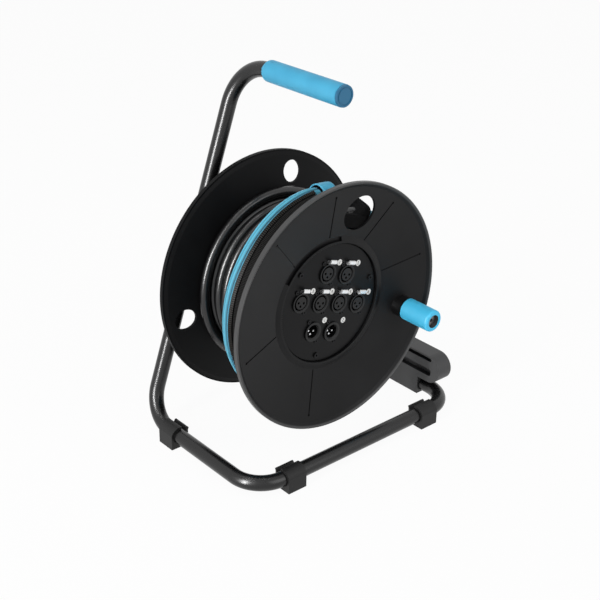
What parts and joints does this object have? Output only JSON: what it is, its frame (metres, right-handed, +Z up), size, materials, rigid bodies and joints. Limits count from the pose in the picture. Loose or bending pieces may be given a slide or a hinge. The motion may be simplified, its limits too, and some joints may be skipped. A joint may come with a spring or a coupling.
{
  "type": "audio cable drum",
  "caption": "Portable audio multicore drum: bent-tube stand, turning drum with XLR panel, wound cable and zipped fan-out sleeve.",
  "frame": {"origin": "floor level under the middle of the whole drum's outline", "axes": "+Z up; the drum turns about Y, with the connector panel and the crank facing -Y; +X is to the viewer's right, the side of the bearing bracket"},
  "size_m": [0.3543, 0.249, 0.4645],
  "materials": {
    "black_powder_coat": "gloss powder coat",
    "blue_rubber": "satin",
    "dark_blue_plastic": "gloss",
    "black_plastic": "matte",
    "black_moulding": "satin moulded",
    "black_panel": "satin",
    "connector_shell": "black coated die-cast",
    "zinc_steel": "zinc plated",
    "black_steel": "black oxide",
    "bright_nickel": "nickel plated",
    "silver_plate": "silver plated",
    "brass_contact": "plated",
    "white_nylon": "matte",
    "black_pvc": "satin PVC jacket",
    "blue_fabric": "woven nylon",
    "black_tape": "woven zip tape",
    "blue_plastic": "satin moulded"
  },
  "bodies": {
    "stand": {"frame_tube": "black_powder_coat", "carry_grip": "blue_rubber", "grip_end_cap": "dark_blue_plastic", "foot_rear_left": "black_plastic", "foot_front_left": "black_plastic", "foot_front_right": "black_plastic", "bearing_bracket": "black_moulding", "upright_bolts": "zinc_steel", "leg_screws": "zinc_steel", "axle": "zinc_steel", "thrust_washer": "zinc_steel", "end_washer": "zinc_steel", "axle_bolt": "zinc_steel", "axle_nut": "zinc_steel"},
    "drum": {"front_flange": "black_moulding", "rear_flange": "black_moulding", "core_barrel": "black_moulding", "bush_front": "white_nylon", "bush_rear": "white_nylon", "front_barrel_screws": "black_steel", "rear_barrel_screws": "black_steel", "connector_panel": "black_panel", "panel_screws": "zinc_steel", "connector_screws": "black_steel", "female_shell_1": "connector_shell", "female_shell_2": "connector_shell", "female_shell_3": "connector_shell", "female_shell_4": "connector_shell", "female_shell_5": "connector_shell", "female_shell_6": "connector_shell", "female_insert_1": "black_plastic", "female_insert_2": "black_plastic", "female_insert_3": "black_plastic", "female_insert_4": "black_plastic", "female_insert_5": "black_plastic", "female_insert_6": "black_plastic", "male_shell_1": "connector_shell", "male_shell_2": "connector_shell", "male_insert_1": "black_plastic", "male_insert_2": "black_plastic", "contact_pins": "silver_plate", "contact_sockets": "brass_contact", "cable_gland": "black_plastic", "wiring_loom": "black_pvc", "winding_core": "black_pvc", "winding_outer_layer": "black_pvc", "fanout_sleeve": "blue_fabric", "sleeve_zip": "black_tape", "sleeve_strap": "blue_fabric", "crank_spindle": "zinc_steel", "crank_nut": "zinc_steel"},
    "crank": {"crank_grip": "blue_plastic"},
    "tab_1": {"push_tab_1": "bright_nickel"},
    "tab_2": {"push_tab_2": "bright_nickel"},
    "tab_3": {"push_tab_3": "bright_nickel"},
    "tab_4": {"push_tab_4": "bright_nickel"},
    "tab_5": {"push_tab_5": "bright_nickel"},
    "tab_6": {"push_tab_6": "bright_nickel"}
  },
  "joints": [
    {"name": "drum_spin", "type": "hinge", "parent": "stand", "child": "drum", "pos_m": [-0.01537, 0.0483, 0.195], "axis": [0, 1, 0], "continuous": true},
    {"name": "crank_spin", "type": "hinge", "parent": "drum", "child": "crank", "pos_m": [0.09729, -0.0987, 0.15991], "axis": [0, 1, 0], "continuous": true},
    {"name": "tab_1_push", "type": "slide", "parent": "drum", "child": "tab_1", "axis": [0, 1, 0], "range_m": [0, 0.0018], "stiffness_N_per_m": 1500, "springref_m": -0.0005},
    {"name": "tab_2_push", "type": "slide", "parent": "drum", "child": "tab_2", "axis": [0, 1, 0], "range_m": [0, 0.0018], "stiffness_N_per_m": 1500, "springref_m": -0.0005},
    {"name": "tab_3_push", "type": "slide", "parent": "drum", "child": "tab_3", "axis": [0, 1, 0], "range_m": [0, 0.0018], "stiffness_N_per_m": 1500, "springref_m": -0.0005},
    {"name": "tab_4_push", "type": "slide", "parent": "drum", "child": "tab_4", "axis": [0, 1, 0], "range_m": [0, 0.0018], "stiffness_N_per_m": 1500, "springref_m": -0.0005},
    {"name": "tab_5_push", "type": "slide", "parent": "drum", "child": "tab_5", "axis": [0, 1, 0], "range_m": [0, 0.0018], "stiffness_N_per_m": 1500, "springref_m": -0.0005},
    {"name": "tab_6_push", "type": "slide", "parent": "drum", "child": "tab_6", "axis": [0, 1, 0], "range_m": [0, 0.0018], "stiffness_N_per_m": 1500, "springref_m": -0.0005}
  ]
}
